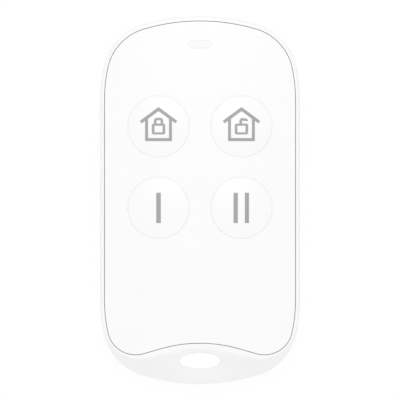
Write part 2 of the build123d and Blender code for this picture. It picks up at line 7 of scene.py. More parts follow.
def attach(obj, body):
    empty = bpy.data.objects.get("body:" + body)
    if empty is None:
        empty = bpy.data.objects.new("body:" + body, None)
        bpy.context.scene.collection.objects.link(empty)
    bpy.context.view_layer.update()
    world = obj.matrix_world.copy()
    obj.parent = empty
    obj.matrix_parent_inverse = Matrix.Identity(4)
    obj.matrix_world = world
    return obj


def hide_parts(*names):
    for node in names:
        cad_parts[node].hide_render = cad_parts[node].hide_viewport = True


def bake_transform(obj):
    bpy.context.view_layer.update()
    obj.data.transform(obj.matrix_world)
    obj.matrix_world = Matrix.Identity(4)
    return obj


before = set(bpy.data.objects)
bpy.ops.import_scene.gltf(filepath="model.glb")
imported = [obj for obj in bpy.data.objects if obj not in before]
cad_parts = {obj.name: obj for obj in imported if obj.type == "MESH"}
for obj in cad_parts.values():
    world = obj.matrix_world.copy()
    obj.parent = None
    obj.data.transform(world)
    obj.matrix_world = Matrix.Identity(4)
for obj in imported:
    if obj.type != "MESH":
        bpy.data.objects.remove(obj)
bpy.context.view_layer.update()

# Back shell: the tub of white ABS that carries everything else, moulded in one shot.
# Its walls lean in to the rim round the face, and the chin has an oval hole for a lanyard.
mm = 0.001
body_length, body_width = 65 * mm, 35.3 * mm
end_radius, corner_radius, ease_radius, end_length = 35.5 * mm, 9.9 * mm, 28 * mm, 14.8 * mm
rim_width, chin_length, wave_height, trough_radius = 0.83 * mm, 5.1 * mm, 2.05 * mm, 5 * mm
crest_share, brow_crest_share = 0.306, 0.146
crown_height, cross_radius, ridge_radius = 12 * mm, 85 * mm, 260 * mm
girth_height, brow_height, rim_draft = 4.2 * mm, 12.8 * mm, 0.15 * mm
chin_roll, back_round, rim_round, seam_round = 1.6 * mm, 2.4 * mm, 0.28 * mm, 0.03 * mm
floor_thickness, ledge_height, ledge_width = 1.7 * mm, 8 * mm, 1.2 * mm
cell_y, well_radius, well_wall, well_top = -6 * mm, 11.9 * mm, 1 * mm, 4.6 * mm
recess_radius, recess_depth, opening_radius, slot_radius = 12.1 * mm, 1.1 * mm, 10.8 * mm, 11.7 * mm
index_radius, index_size, index_line, index_depth = 13.4 * mm, 0.5 * mm, 0.2 * mm, 0.15 * mm
locked_angle, door_turn, cell_steps, index_steps = 90, 45, 96, 32
post_x, post_y, post_size, board_floor = 12.3 * mm, 13 * mm, 2.2 * mm, 5.5 * mm
hook_x, hook_y, hook_floor, hook_head = 15.62 * mm, 11.05 * mm, 5.9 * mm, 0.8 * mm
pocket_half_depth, pocket_half_width, pocket_gap = 0.6 * mm, 1.65 * mm, 0.15 * mm
hole_y, hole_width, hole_height, hole_end = -28.4 * mm, 7.1 * mm, 2.8 * mm, 0.9 * mm
lip_round, cutter_top = 0.25 * mm, 15 * mm
half_length, half_width, side_y = body_length / 2, body_width / 2, body_length / 2 - end_length
seam_stretch = 1.006
arc_steps = (14, 14, 6, 20, 6, 16, 5, 12)
white = (0.93, 0.93, 0.925)
handled_white = (0.8, 0.79, 0.77)


def crown_level(x, y):
    """Height of the crowned front."""
    ridge = sqrt(ridge_radius**2 - y**2) - ridge_radius
    return crown_height + ridge + sqrt(cross_radius**2 - x**2) - cross_radius


def crown_normal(x, y):
    return Vector((x / sqrt(cross_radius**2 - x**2), y / sqrt(ridge_radius**2 - y**2), 1)).normalized()


def on_crown(point, normal):
    """Exact normal of the crowned front, for a corner of a face that lies in it."""
    slope = crown_normal(point.x, point.y)
    if abs(point.z - crown_level(point.x, point.y)) < 0.002 * mm and normal.dot(slope) > 0.999:
        return slope


def toward(centre, other, radius):
    """Point at a radius from a centre, on the side of another point."""
    return centre + (other - centre).normalized() * radius


def flipped(point):
    return Vector((point.x, -point.y))


def crossing(first, first_radius, second, second_radius):
    """Crossing of two circles, to the right of the way from first to second."""
    gap = second - first
    along = (first_radius**2 - second_radius**2 + gap.length_squared) / (2 * gap.length)
    ahead = gap.normalized()
    return first + ahead * along + Vector((ahead.y, -ahead.x)) * sqrt(first_radius**2 - along**2)


end_centre = Vector((0, half_length - end_radius))
ease_centre = Vector((half_width - ease_radius, side_y))
corner_centre = crossing(end_centre, end_radius - corner_radius, ease_centre, ease_radius - corner_radius)


def upper_stops(inset):
    """Stops of the outline from the top down the side, each with the radius of the arc before it."""
    return [
        (Vector((0, half_length - inset)), 0),
        (toward(end_centre, corner_centre, end_radius - inset), end_radius - inset),
        (toward(ease_centre, corner_centre, ease_radius - inset), corner_radius - inset),
        (Vector((half_width - inset, side_y)), ease_radius - inset),
        (Vector((half_width - inset, -side_y)), 0),
    ]


def body_stops(split_x):
    """The outline of the tub, its lower end split where the wave's flank begins."""
    split = Vector((split_x, -end_centre.y - sqrt(end_radius**2 - split_x**2)))
    return upper_stops(0) + [
        (flipped(toward(ease_centre, corner_centre, ease_radius)), ease_radius),
        (flipped(toward(end_centre, corner_centre, end_radius)), corner_radius),
        (split, end_radius),
        (Vector((0, -half_length)), end_radius),
    ]


class Wave:
    """Lower edge of the face: two troughs joined by straight flanks to a middle crest."""

    def __init__(self, inset, low, crest, share):
        reach = ease_radius - inset - trough_radius
        trough_y = low + trough_radius
        self.inset, self.crest = inset, crest
        self.trough = Vector((ease_centre.x + sqrt(reach**2 - (trough_y + side_y) ** 2), trough_y))
        gap = self.trough - Vector((share * self.trough.x, crest))
        flank = asin(trough_radius / gap.length) - atan2(gap.y, gap.x)
        self.normal = Vector((-sin(flank), -cos(flank)))
        self.crest_radius = share * self.trough.x / tan(flank / 2)
        self.split_x = self.crest_radius * sin(flank)

    def stops(self, shift=0):
        """Stops of the whole outline over this wave, a shift inside it."""
        inset = self.inset + shift
        peak = Vector((0, self.crest - self.crest_radius))
        return upper_stops(inset) + [
            (toward(flipped(ease_centre), self.trough, ease_radius - inset), ease_radius - inset),
            (self.trough + self.normal * (trough_radius - shift), trough_radius - shift),
            (peak - self.normal * (self.crest_radius + shift), 0),
            (Vector((0, self.crest + shift)), -self.crest_radius - shift),
        ]


def trace(stops, steps=arc_steps, centre=(0, 0)):
    """Points round an outline: one vertex is spun from stop to stop, and the other half mirrors it."""
    bm = bmesh.new()
    tip = bmesh.ops.create_vert(bm, co=(*stops[0][0], 0))["vert"][0]
    for (stop, radius), count in zip(stops[1:], steps):
        run = Vector(stop) - tip.co.xy
        move = {"dvec": (*(run / count), 0)}
        if radius:
            side = copysign(1, radius)
            across = Vector((run.y, -run.x)).normalized() * side
            middle = tip.co.xy + run / 2 + across * sqrt(max(radius**2 - run.length_squared / 4, 0))
            turn = -side * 2 * asin(min(run.length / 2 / abs(radius), 1))
            move = {"cent": (*middle, 0), "angle": turn}
        made = bmesh.ops.spin(bm, geom=[tip], axis=(0, 0, 1), steps=count, **move)["geom_last"]
        tip = next(item for item in made if isinstance(item, bmesh.types.BMVert))
    right = [vert.co.copy() for vert in bm.verts]
    bm.free()
    left = [Vector((-point.x, point.y, 0)) for point in reversed(right[1:-1])]
    return [point + Vector((*centre, 0)) for point in right + left]


def round_points(centre, radius, count=72):
    """Points round a circle."""
    bm = bmesh.new()
    verts = bmesh.ops.create_circle(bm, segments=count, radius=radius)["verts"]
    points = [vert.co + Vector((*centre, 0)) for vert in verts]
    bm.free()
    return points


def at_level(points, level):
    return [Vector((point.x, point.y, level)) for point in points]


def under_crown(points, depth=0):
    return [Vector((point.x, point.y, crown_level(point.x, point.y) - depth)) for point in points]


def start_ring(bm, points):
    """A first ring of edges through points."""
    ring = bmesh.ops.create_circle(bm, segments=len(points), radius=1)["verts"]
    for vert, point in zip(ring, points):
        vert.co = point
    return ring


def ring_edges(bm, ring):
    return [bm.edges.get(pair) for pair in zip(ring, ring[1:] + ring[:1])]


def grow(bm, ring, points):
    """Extrudes a ring and puts the new one on its points."""
    made = set(bmesh.ops.extrude_edge_only(bm, edges=ring_edges(bm, ring))["geom"])
    after = []
    for vert, point in zip(ring, points):
        others = (edge.other_vert(vert) for edge in vert.link_edges)
        after.append(next(other for other in others if other in made))
        after[-1].co = point
    return after


def close(bm, *rings):
    """Fills the flat area between rings."""
    edges = [edge for ring in rings for edge in ring_edges(bm, ring)]
    return bmesh.ops.triangle_fill(bm, use_beauty=True, edges=edges)["geom"]


def face_out(bm):
    bmesh.ops.remove_doubles(bm, verts=bm.verts, dist=1e-7)
    bmesh.ops.recalc_face_normals(bm, faces=bm.faces)


def add_block(bm, low, high):
    """A closed block between two corners."""
    low, high = Vector(low), Vector(high)
    size, middle = high - low, (low + high) / 2
    bmesh.ops.create_cube(bm, size=1, matrix=Matrix.Translation(middle) @ Matrix.Diagonal((*size, 1)))


def as_object(name, bm):
    mesh = bpy.data.meshes.new(name)
    bm.to_mesh(mesh)
    bm.free()
    made = bpy.data.objects.new(name, mesh)
    bpy.context.scene.collection.objects.link(made)
    return made


def combined(bm, tool, operation):
    """A piece with another shape cut out of it or joined to it."""
    face_out(bm)
    face_out(tool)
    piece, cutter = as_object("piece", bm), as_object("cutter", tool)
    modifier = piece.modifiers.new("cut", "BOOLEAN")
    modifier.operation, modifier.solver, modifier.object = operation, "EXACT", cutter
    shape = bpy.data.meshes.new_from_object(piece.evaluated_get(bpy.context.evaluated_depsgraph_get()))
    result = bmesh.new()
    result.from_mesh(shape)
    for made in (piece, cutter):
        bpy.data.meshes.remove(made.data)
    bpy.data.meshes.remove(shape)
    return result


def soften(bm, edges, width, segments=2):
    bmesh.ops.bevel(
        bm, geom=edges, offset=width, segments=segments, profile=0.5, affect="EDGES", material=-1
    )


seam = Wave(rim_width, chin_length - half_length, chin_length - half_length + wave_height, crest_share)
band = rim_width - rim_draft
crest_band = seam.crest - band
slope = atan2(crest_band + half_length, crown_level(0, crest_band) - girth_height)
roll_level = girth_height + chin_roll * sin(slope)
roll_run = chin_roll * (1 - cos(slope))
brow_climb = (brow_height - roll_level) / (crown_level(0, crest_band) - roll_level)
brow_run = roll_run + (crest_band + half_length - roll_run) * brow_climb
roll_share = roll_run / brow_run


def chin_share(level):
    """Share of the way from the girth to the brow that the wall has come at a level."""
    return roll_share + (1 - roll_share) * (level - roll_level) / (brow_height - roll_level)


trough_foot = -end_centre.y - sqrt(end_radius**2 - seam.trough.x**2)
trough_band = chin_length - half_length - band
trough_share = chin_share(crown_level(seam.trough.x, trough_band))
brow = Wave(
    rim_draft / chin_share(crown_level(half_width, 0)),
    trough_foot + (trough_band - trough_foot) / trough_share,
    brow_run - half_length,
    brow_crest_share,
)
girth_points, brow_points = trace(body_stops(brow.split_x)), trace(brow.stops())


def seam_points(shift=0):
    """Points along the seam, a shift inside the rim."""
    return [Vector((point.x * seam_stretch, point.y, 0)) for point in trace(seam.stops(shift))]


def wall_ring(share, level):
    return at_level([low.lerp(high, share) for low, high in zip(girth_points, brow_points)], level)


def back_ring(angle):
    """The girth's outline, drawn in along the round at the back."""
    inset, level = back_round * (1 - sin(angle)), back_round * (1 - cos(angle))
    ring = []
    earlier, later = girth_points[-1:] + girth_points, girth_points[1:] + girth_points[:1]
    for before, point, after in zip(earlier, girth_points, later):
        along = (after - before).normalized()
        ring.append(point - Vector((-along.y, along.x, 0)) * inset + Vector((0, 0, level)))
    return ring


def cell_ring(radius, level):
    """Points of a circle round the cell's axis."""
    return at_level(round_points((0, cell_y), radius, cell_steps), level)


shell = bmesh.new()
foot = ring = start_ring(shell, back_ring(0))
for step in range(1, 9):
    ring = grow(shell, ring, back_ring(radians(90) * step / 8))
ring = grow(shell, ring, at_level(girth_points, girth_height))
for step in range(1, 7):
    angle = slope * step / 6
    share, level = chin_roll * (1 - cos(angle)) / brow_run, girth_height + chin_roll * sin(angle)
    ring = grow(shell, ring, wall_ring(share, level))
rolled = [vert.co.copy() for vert in ring]
rim = wall_ring(1, crown_height)
for turn in range(6):  # each turn brings the rim nearer to where the leaning wall meets the crown
    shares = [chin_share(point.z) for point in rim]
    rim = under_crown(
        [low.lerp(high, share) for low, high, share in zip(girth_points, brow_points, shares)]
    )
for step in range(1, 9):
    ring = grow(shell, ring, [low.lerp(high, step / 8) for low, high in zip(rolled, rim)])
rim_ring = ring
ring = mouth_ring = grow(shell, ring, under_crown(seam_points()))
ring = grow(shell, ring, at_level(seam_points(), ledge_height))
ring = grow(shell, ring, at_level(seam_points(ledge_width), ledge_height))
cavity = grow(shell, ring, at_level(seam_points(ledge_width), floor_thickness))
well = start_ring(shell, cell_ring(well_radius + well_wall, floor_thickness))
close(shell, cavity, well)
ring = grow(shell, well, cell_ring(well_radius + well_wall, well_top))
ring = grow(shell, ring, cell_ring(well_radius, well_top))
ring = grow(shell, ring, cell_ring(well_radius, floor_thickness))


def polar(radius, angle, level=0):
    """Point round the cell's axis, its angle in degrees."""
    return Vector((cos(radians(angle)) * radius, sin(radians(angle)) * radius + cell_y, level))


def opening_points(level, step=3, reach=15, side=17):
    """The door's opening with its three slots for the lugs."""
    points = []
    for angle in range(0, 360, step):
        aside = (angle + 105) % 120 - 60
        radius = slot_radius if abs(aside) <= reach else opening_radius
        if reach <= abs(aside) <= reach + step:
            angle += copysign(side, aside) - aside
        points.append(polar(radius, angle, level))
    return points


opening = start_ring(shell, opening_points(floor_thickness))
close(shell, ring, opening)
ring = grow(shell, opening, opening_points(recess_depth))
recess = start_ring(shell, cell_ring(recess_radius, recess_depth))
close(shell, ring, recess)
recess = grow(shell, recess, cell_ring(recess_radius, 0))
spot = polar(index_radius, locked_angle).xy
locked_mark = start_ring(shell, at_level(round_points(spot, index_size, index_steps), 0))
close(shell, grow(shell, locked_mark, at_level(round_points(spot, index_size, index_steps), index_depth)))
spot = polar(index_radius, locked_angle - door_turn).xy
open_mark = start_ring(shell, at_level(round_points(spot, index_size, index_steps), 0))
ring = grow(shell, open_mark, at_level(round_points(spot, index_size, index_steps), index_depth))
for level in (index_depth, 0):
    ring = grow(shell, ring, at_level(round_points(spot, index_size - index_line, index_steps), level))
close(shell, ring)
close(shell, foot, recess, locked_mark, open_mark)
soften(shell, ring_edges(shell, rim_ring), rim_round, 4)
soften(shell, ring_edges(shell, mouth_ring), seam_round)
posts = bmesh.new()
for side in (-1, 1):
    x = side * post_x
    add_block(
        posts,
        (x - post_size / 2, post_y - post_size / 2, floor_thickness / 2),
        (x + post_size / 2, post_y + post_size / 2, board_floor),
    )
shell = combined(shell, posts, "UNION")
end_x = hole_width / 2 - hole_end
flat_radius = (end_x**2 + hole_height**2 / 4 - hole_end**2) / (hole_height - 2 * hole_end)
flat_centre, end_spot = Vector((0, hole_height / 2 - flat_radius)), Vector((end_x, 0))


def oval_points(grown):
    """Points round the lanyard hole, grown by a width."""
    joint = toward(flat_centre, end_spot, flat_radius + grown)
    stops = [
        (Vector((0, hole_height / 2 + grown)), 0),
        (joint, flat_radius + grown),
        (flipped(joint), hole_end + grown),
        (Vector((0, -hole_height / 2 - grown)), flat_radius + grown),
    ]
    return trace(stops, (12, 16, 12), (0, hole_y))


def below_chin(points, depth):
    """Puts points a depth below the chin's surface."""
    down = Vector((0, 0, -1))
    return [point + Vector((0, 0, chin.ray_cast(point - down, down)[0].z - depth)) for point in points]


cuts = bmesh.new()
chin = BVHTree.FromBMesh(shell)
flare, past = lip_round * 1.2, -lip_round / 20
turns = [radians(angle) for angle in (0, 30, 60)]
lips = [(lip_round * (1 - cos(angle)), lip_round * (1 - sin(angle))) for angle in turns]
ring = start_ring(cuts, at_level(oval_points(flare), past))
close(cuts, ring)
for grown, depth in reversed(lips):
    ring = grow(cuts, ring, at_level(oval_points(grown), depth))
for grown, depth in lips:
    ring = grow(cuts, ring, below_chin(oval_points(grown), depth))
ring = grow(cuts, ring, below_chin(oval_points(flare), past))
close(cuts, grow(cuts, ring, at_level(oval_points(flare), cutter_top)))
for side in (-1, 1):
    for y in (-hook_y, hook_y):
        x = side * hook_x
        add_block(
            cuts,
            (x - pocket_half_depth, y - pocket_half_width, hook_floor),
            (x + pocket_half_depth, y + pocket_half_width, hook_floor + hook_head + pocket_gap),
        )
shell = combined(shell, cuts, "DIFFERENCE")


def node_group(name, inputs, outputs):
    """An empty shader group with named sockets."""
    group = bpy.data.node_groups.new(name, "ShaderNodeTree")
    for socket, value in inputs.items():
        made = group.interface.new_socket(socket, in_out="INPUT", socket_type="NodeSocketFloat")
        made.default_value = value
    for socket in outputs:
        group.interface.new_socket(socket, in_out="OUTPUT", socket_type="NodeSocketFloat")
    start, end = group.nodes.new("NodeGroupInput"), group.nodes.new("NodeGroupOutput")
    return group, start.outputs, end.inputs


def add_node(tree, kind, links=(), **settings):
    """A shader node with its settings, and its inputs linked or set by name or number."""
    node = tree.nodes.new("ShaderNode" + kind)
    for name, value in settings.items():
        setattr(node, name, value)
    for socket, value in dict(links).items():
        if isinstance(value, bpy.types.NodeSocket):
            tree.links.new(value, node.inputs[socket])
        else:
            node.inputs[socket].default_value = value
    return node


def arithmetic(tree, operation, first, second=0.0):
    return add_node(tree, "Math", {0: first, 1: second}, operation=operation).outputs[0]


# Fine texture of a moulding, and the broad unevenness of its colour
moulding, given, result = node_group("moulding", {"Grain": 6000.0, "Blotch": 160.0}, ("Height", "Mottle"))
place = add_node(moulding, "TexCoord").outputs["Object"]
fine = add_node(moulding, "TexNoise", {"Vector": place, "Scale": given["Grain"], "Detail": 2.0})
broad = add_node(moulding, "TexNoise", {"Vector": place, "Scale": given["Blotch"], "Detail": 3.0})
moulding.links.new(fine.outputs[0], result["Height"])
moulding.links.new(broad.outputs[0], result["Mottle"])

# Rubbed corners: where a rounded normal leaves the true one, broken up by noise
wear, given, result = node_group("rubbed_edges", {"Reach": 0.0004, "Patches": 700.0}, ("Mask",))
place = add_node(wear, "TexCoord").outputs["Object"]
true = add_node(wear, "NewGeometry").outputs["Normal"]
rounded = add_node(wear, "Bevel", {"Radius": given["Reach"]}, samples=4).outputs[0]
alike = add_node(wear, "VectorMath", {0: true, 1: rounded}, operation="DOT_PRODUCT").outputs["Value"]
patch = add_node(wear, "TexNoise", {"Vector": place, "Scale": given["Patches"], "Detail": 3.0}).outputs[0]
apart = arithmetic(wear, "SUBTRACT", 1.0, alike)
rubbed = arithmetic(wear, "MULTIPLY", apart, arithmetic(wear, "MULTIPLY", patch, 4.0))
wear.links.new(arithmetic(wear, "MINIMUM", rubbed, 1.0), result["Mask"])


def finish(
    name,
    colour,
    worn,
    roughness,
    grain=6000.0,
    depth=2e-6,
    mottle=0.03,
    reach=0.0003,
    pattern=moulding,
    **shader,
):
    """A material with a fine texture, uneven colour and rubbed edges."""
    material = bpy.data.materials.new(name)
    material.use_nodes = True
    tree = material.node_tree
    skin = tree.nodes["Principled BSDF"]
    for socket, value in shader.items():
        skin.inputs[socket.replace("_", " ")].default_value = value
    texture = add_node(tree, "Group", node_tree=pattern)
    texture.inputs["Grain"].default_value = grain
    edges = add_node(tree, "Group", node_tree=wear)
    edges.inputs["Reach"].default_value = reach
    cloud = texture.outputs["Mottle"]
    uneven = add_node(tree, "MapRange", {0: cloud, 1: 0.3, 2: 0.7, 3: 1 - mottle, 4: 1.0})
    shade = add_node(tree, "VectorMath", {0: colour, "Scale": uneven.outputs[0]}, operation="SCALE")
    tone = add_node(
        tree, "Mix", {0: edges.outputs["Mask"], 6: shade.outputs[0], 7: (*worn, 1)}, data_type="RGBA"
    )
    gloss = add_node(tree, "MapRange", {0: cloud, 1: 0.3, 2: 0.7, 3: roughness * 0.9, 4: roughness * 1.1})
    bump = add_node(tree, "Bump", {"Height": texture.outputs["Height"], "Distance": depth, "Strength": 1.0})
    tree.links.new(tone.outputs[2], skin.inputs["Base Color"])
    tree.links.new(gloss.outputs[0], skin.inputs["Roughness"])
    tree.links.new(bump.outputs[0], skin.inputs["Normal"])
    return material


def dress(node, material):
    """Gives a CAD node its material."""
    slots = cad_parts[node].data.materials
    slots.clear()
    slots.append(material)


crease_angle = radians(32)


def make_piece(name, bm, material, body, slot, *replaced, exact=None):
    """Turns a bmesh into a finished piece, with exact normals where it is level or has a formula."""
    face_out(bm)
    piece = as_object(name, bm)
    mesh = piece.data
    mesh.materials.append(material)
    mesh.shade_smooth()
    mesh.set_sharp_from_angle(angle=crease_angle)
    normals = [corner.vector.copy() for corner in mesh.corner_normals]
    for face in mesh.polygons:
        levels = [mesh.vertices[spot].co.z for spot in face.vertices]
        for corner in face.loop_indices:
            point = mesh.vertices[mesh.loops[corner].vertex_index].co
            if max(levels) - min(levels) < 1e-7:
                normals[corner] = face.normal
            elif exact:
                normals[corner] = exact(point, face.normal) or normals[corner]
    mesh.normals_split_custom_set(normals)
    if body:
        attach(piece, body)
    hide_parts(*replaced)
    return piece


case_white = finish("case_white", white, handled_white, 0.32, mottle=0.012)
make_piece("back_shell", shell, case_white, "case", "case", "case_body", exact=on_crown)

# Battery door: a disc of the case's ABS with a coin slot, turned an eighth to lock its lugs.
# A black rubber ring lies in the groove behind its flange.
door_white = finish("door_white", white, handled_white, 0.5, grain=4000.0, depth=4e-6)
seal_black = finish("seal_black", (0.05, 0.05, 0.05), (0.11, 0.11, 0.11), 0.6)
dress("door_seal", seal_black)
door_sunk, door_radius, door_round, flange_back = 0.15 * mm, 12 * mm, 0.2 * mm, 1.05 * mm
groove_radius, groove_back, cup_radius, cup_back = 10.2 * mm, 1.7 * mm, 10.7 * mm, 2.55 * mm
cup_inside, cup_floor, lug_inside, lug_radius = 10.15 * mm, 1.9 * mm, 10.4 * mm, 11.6 * mm
lug_low, lug_high, lug_reach = 1.85 * mm, 2.45 * mm, 15
coin_length, coin_width, coin_floor, coin_round = 12 * mm, 1.7 * mm, 1 * mm, 0.12 * mm
arrow_tip, arrow_foot, arrow_spread = 0.9 * mm, 2.1 * mm, 4.5


def add_prism(bm, points, low, high):
    """A closed block with upright sides between two levels."""
    ring = start_ring(bm, at_level(points, low))
    close(bm, ring)
    close(bm, grow(bm, ring, at_level(points, high)))


def slot_stops(length, width):
    """Right half of a slot with round ends."""
    middle = length / 2 - width / 2
    return [
        (Vector((0, width / 2)), 0),
        (Vector((middle, width / 2)), 0),
        (Vector((middle, -width / 2)), width / 2),
        (Vector((0, -width / 2)), 0),
    ]


def coin_points(grown):
    """Points round the coin slot, grown by a width on every side."""
    return trace(slot_stops(coin_length + 2 * grown, coin_width + 2 * grown), (1, 16, 1), (0, cell_y))


door = bmesh.new()
coin_ring = ring = start_ring(door, at_level(coin_points(coin_round), door_sunk))
for angle in (30, 60, 90):
    grown, depth = coin_round * (1 - sin(radians(angle))), coin_round * (1 - cos(radians(angle)))
    ring = grow(door, ring, at_level(coin_points(grown), door_sunk + depth))
close(door, grow(door, ring, at_level(coin_points(0), coin_floor)))
arrow = [
    polar(door_radius - arrow_tip, locked_angle),
    polar(door_radius - arrow_foot, locked_angle + arrow_spread),
    polar(door_radius - arrow_foot, locked_angle - arrow_spread),
]
arrow_ring = start_ring(door, at_level(arrow, door_sunk))
close(door, grow(door, arrow_ring, at_level(arrow, door_sunk + index_depth)))
ring = start_ring(door, cell_ring(door_radius - door_round, door_sunk))
close(door, ring, coin_ring, arrow_ring)
for step in range(1, 5):
    angle = radians(90) * step / 4
    radius, level = door_radius - door_round * (1 - sin(angle)), door_sunk + door_round * (1 - cos(angle))
    ring = grow(door, ring, cell_ring(radius, level))
for radius, level in (
    (door_radius, flange_back),
    (groove_radius, flange_back),
    (groove_radius, groove_back),
    (cup_radius, groove_back),
    (cup_radius, cup_back),
    (cup_inside, cup_back),
    (cup_inside, cup_floor),
):
    ring = grow(door, ring, cell_ring(radius, level))
close(door, ring)
lugs = bmesh.new()
for middle in (0, 120, 240):
    turns = range(middle - lug_reach, middle + lug_reach + 1, 3)
    outline = [polar(lug_radius, turn) for turn in turns]
    outline += [polar(lug_inside, turn) for turn in reversed(turns)]
    add_prism(lugs, outline, lug_low, lug_high)
door = combined(door, lugs, "UNION")
make_piece("door_disc", door, door_white, "battery_door", "door", "battery_door")

# Coin cell: a nickel-plated can and cap crimped round a dark gasket.
# It lies in the door's cup with the can outwards.
steel, rubbed_steel = (0.62, 0.62, 0.6), (0.76, 0.76, 0.75)

# Turned metal: fine rings round the cell's axis under broad clouds of handling
turned, given, result = node_group("turned_metal", {"Grain": 9000.0, "Blotch": 160.0}, ("Height", "Mottle"))
place = add_node(turned, "TexCoord").outputs["Object"]
centred = add_node(turned, "Mapping", {"Vector": place, "Location": (0, -cell_y, 0)}).outputs[0]
aside = add_node(turned, "VectorMath", {0: centred, 1: (1, 1, 0)}, operation="MULTIPLY").outputs[0]
distance = add_node(turned, "VectorMath", {0: aside}, operation="LENGTH").outputs["Value"]
spread = arithmetic(turned, "MULTIPLY", distance, given["Grain"])
lathe = add_node(turned, "TexNoise", {"W": spread, "Scale": 1.0, "Detail": 2.0}, noise_dimensions="1D")
cloud = add_node(turned, "TexNoise", {"Vector": place, "Scale": given["Blotch"], "Detail": 3.0})
mixed = arithmetic(turned, "ADD", lathe.outputs[0], cloud.outputs[0])
turned.links.new(lathe.outputs[0], result["Height"])
turned.links.new(arithmetic(turned, "MULTIPLY", mixed, 0.5), result["Mottle"])

nickel = finish(
    "cell_nickel", steel, rubbed_steel, 0.28, depth=1e-6, mottle=0.12, pattern=turned, Metallic=1.0
)
gasket_grey = finish("gasket_grey", (0.12, 0.12, 0.13), (0.2, 0.2, 0.2), 0.5)
dress("coin_cell_can", nickel)
dress("coin_cell_cap", nickel)
dress("coin_cell_gasket", gasket_grey)

# Battery contacts: strips of gold-flashed phosphor bronze, folded and soldered to the board.
# The negative leaf presses on the cell's cap, and the positive one on the side of its can.
spring_bronze = finish(
    "spring_bronze", (0.78, 0.66, 0.4), (0.8, 0.72, 0.6), 0.3, depth=1e-6, Metallic=1.0
)
dress("contact_negative", spring_bronze)
dress("contact_positive", spring_bronze)

# Circuit board: glass-fibre laminate under green solder resist, cut to the tub.
# Two small screws hold it to the bosses of the face plate.
screw_steel = finish("screw_steel", steel, rubbed_steel, 0.3, Metallic=1.0)

# Copper under the resist: square cells, each with a trace along or across the board, some with a via
traces, given, result = node_group("board_traces", {"Grain": 0.14, "Blotch": 1300.0}, ("Height", "Mottle"))
place = add_node(traces, "TexCoord").outputs["Object"]
flat = add_node(traces, "VectorMath", {0: place, 1: (1, 1, 0)}, operation="MULTIPLY").outputs[0]
scaled = add_node(traces, "VectorMath", {0: flat, "Scale": given["Blotch"]}, operation="SCALE").outputs[0]
cell = add_node(traces, "VectorMath", {0: scaled}, operation="FLOOR").outputs[0]
inside = add_node(traces, "VectorMath", {0: scaled}, operation="FRACTION").outputs[0]
inside = add_node(traces, "VectorMath", {0: inside, 1: (0.5, 0.5, 0)}, operation="SUBTRACT").outputs[0]
aside = add_node(traces, "SeparateXYZ", {0: inside}).outputs
along = add_node(traces, "TexNoise", {"Vector": cell, "Scale": 0.13, "Detail": 1.0}).outputs[0]
along = arithmetic(traces, "GREATER_THAN", along, 0.5)
across = add_node(traces, "Mix", {0: along, 2: aside[0], 3: aside[1]}).outputs[0]
offset = arithmetic(traces, "ABSOLUTE", across)
line = arithmetic(traces, "LESS_THAN", offset, given["Grain"])
chosen = add_node(traces, "TexWhiteNoise", {"Vector": cell}).outputs["Value"]
reach = add_node(traces, "VectorMath", {0: inside}, operation="LENGTH").outputs["Value"]
rare = arithmetic(traces, "GREATER_THAN", chosen, 0.92)
via = arithmetic(traces, "MULTIPLY", rare, arithmetic(traces, "LESS_THAN", reach, 0.34))
copper = arithmetic(traces, "MAXIMUM", line, via)
traces.links.new(copper, result["Height"])
traces.links.new(copper, result["Mottle"])

board_green = finish(
    "board_green",
    (0.05, 0.22, 0.12),
    (0.2, 0.24, 0.12),
    0.35,
    grain=0.14,
    depth=2e-5,
    mottle=0.4,
    pattern=traces,
    Coat_Weight=0.3,
)
dress("circuit_board", board_green)
dress("board_screws", screw_steel)

# Small electronics under the board, and the status light that faces the window.
# They are soldered parts in black epoxy, tan ceramic, a steel can, a tinned strip and pale resin.
epoxy_black = finish("epoxy_black", (0.04, 0.04, 0.045), (0.09, 0.09, 0.09), 0.45, grain=9000.0)
crystal_steel = finish("crystal_steel", steel, rubbed_steel, 0.25, Metallic=1.0)
ceramic_tan = finish("ceramic_tan", (0.55, 0.45, 0.34), (0.65, 0.6, 0.52), 0.5)
antenna_tin = finish("antenna_tin", (0.66, 0.66, 0.65), (0.78, 0.78, 0.78), 0.3, Metallic=1.0)
lamp_resin = finish("lamp_resin", (0.92, 0.9, 0.8), (0.92, 0.92, 0.88), 0.25)
for node, material in {
    "radio_chip": epoxy_black,
    "chip_resistors": epoxy_black,
    "crystal": crystal_steel,
    "chip_capacitors": ceramic_tan,
    "antenna": antenna_tin,
    "status_led": lamp_resin,
}.items():
    dress(node, material)

# Switches: one under each key, a black base and plunger held by a stamped steel frame.
# A plunger goes down with its key, which presses it through the mat.
frame_steel = finish("frame_steel", steel, rubbed_steel, 0.25, Metallic=1.0)
key_x, upper_key_y, lower_key_y = 7.325 * mm, 13 * mm, -1.3975 * mm
key_places = {
    "arm": (-key_x, upper_key_y),
    "disarm": (key_x, upper_key_y),
    "one": (-key_x, lower_key_y),
    "two": (key_x, lower_key_y),
}
for name in key_places:
    dress(f"switch_{name}_base", epoxy_black)
    dress(f"switch_{name}_plunger", epoxy_black)
    dress(f"switch_{name}_frame", frame_steel)

